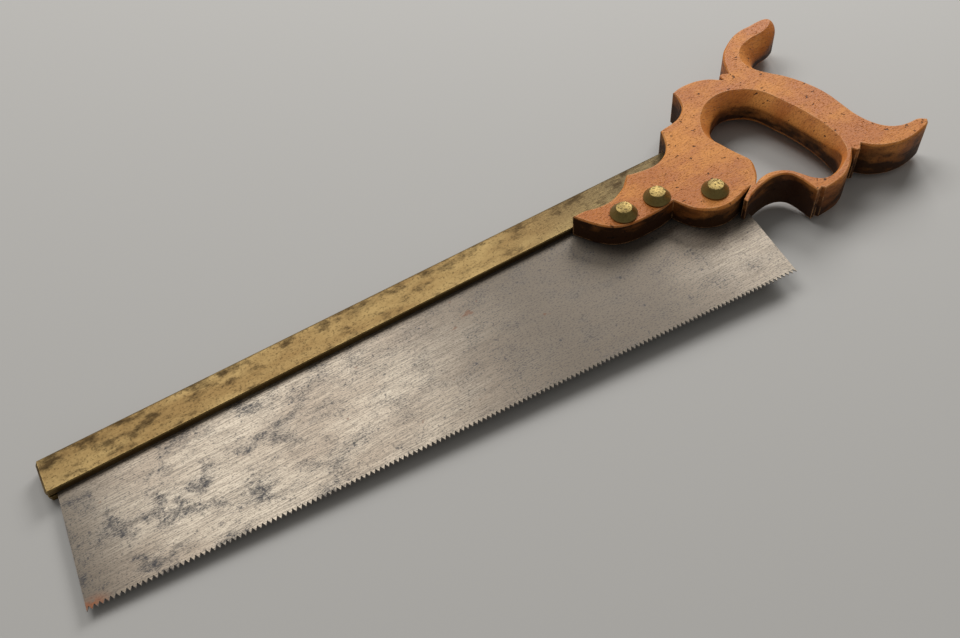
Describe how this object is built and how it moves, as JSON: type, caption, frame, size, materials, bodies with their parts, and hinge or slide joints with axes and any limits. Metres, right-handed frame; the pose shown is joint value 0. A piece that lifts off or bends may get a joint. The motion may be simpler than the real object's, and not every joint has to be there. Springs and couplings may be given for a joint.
{
  "type": "back saw",
  "caption": "Antique back saw: thin steel plate with fine teeth, folded brass back, closed wooden handle held by slotted split nuts and conical-headed saw screws.",
  "frame": {"origin": "on the flat right face of the handle's front cheek, between the middle and the rear split nut", "axes": "+X along the brass back from the toe to the handle, +Y from the teeth to the back, +Z out of the saw's left side; the saw lies on its right side"},
  "size_m": [0.4713, 0.1501, 0.0262],
  "materials": {
    "saw_steel": "worn satin steel with a pale patina, fine lengthwise scratches and dark specks",
    "brass": "aged golden-brown brass, tarnished in blotches and bright on worn edges",
    "apple_wood": "old orange-brown oiled fruitwood with fine flecks, dents and dark grime"
  },
  "bodies": {
    "saw": {"saw_plate": "saw_steel", "brass_back": "brass", "handle": "apple_wood"},
    "screw_front_body": {"screw_front": "brass"},
    "nut_front_body": {"nut_front": "brass"},
    "screw_middle_body": {"screw_middle": "brass"},
    "nut_middle_body": {"nut_middle": "brass"},
    "screw_rear_body": {"screw_rear": "brass"},
    "nut_rear_body": {"nut_rear": "brass"}
  },
  "joints": [
    {"name": "screw_front_lift", "type": "slide", "parent": "saw", "child": "screw_front_body", "axis": [0, 0, 1], "range_m": [0, 0.00272]},
    {"name": "nut_front_turn", "type": "hinge", "parent": "saw", "child": "nut_front_body", "pos_m": [-0.0365, -0.002, 0.0018], "axis": [0, 0, -1], "range_deg": [0, 1080]},
    {"name": "screw_middle_lift", "type": "slide", "parent": "saw", "child": "screw_middle_body", "axis": [0, 0, 1], "range_m": [0, 0.00272]},
    {"name": "nut_middle_turn", "type": "hinge", "parent": "saw", "child": "nut_middle_body", "pos_m": [-0.0164, -0.0025, 0.0018], "axis": [0, 0, -1], "range_deg": [0, 1080]},
    {"name": "screw_rear_lift", "type": "slide", "parent": "saw", "child": "screw_rear_body", "axis": [0, 0, 1], "range_m": [0, 0.00272]},
    {"name": "nut_rear_turn", "type": "hinge", "parent": "saw", "child": "nut_rear_body", "pos_m": [0.0105, -0.015, 0.0018], "axis": [0, 0, -1], "range_deg": [0, 1080]}
  ],
  "couplings": [
    {"joint": "nut_front_turn", "follows": "screw_front_lift", "rad_per_m": 6927.4},
    {"joint": "nut_middle_turn", "follows": "screw_middle_lift", "rad_per_m": 6927.4},
    {"joint": "nut_rear_turn", "follows": "screw_rear_lift", "rad_per_m": 6927.4}
  ]
}
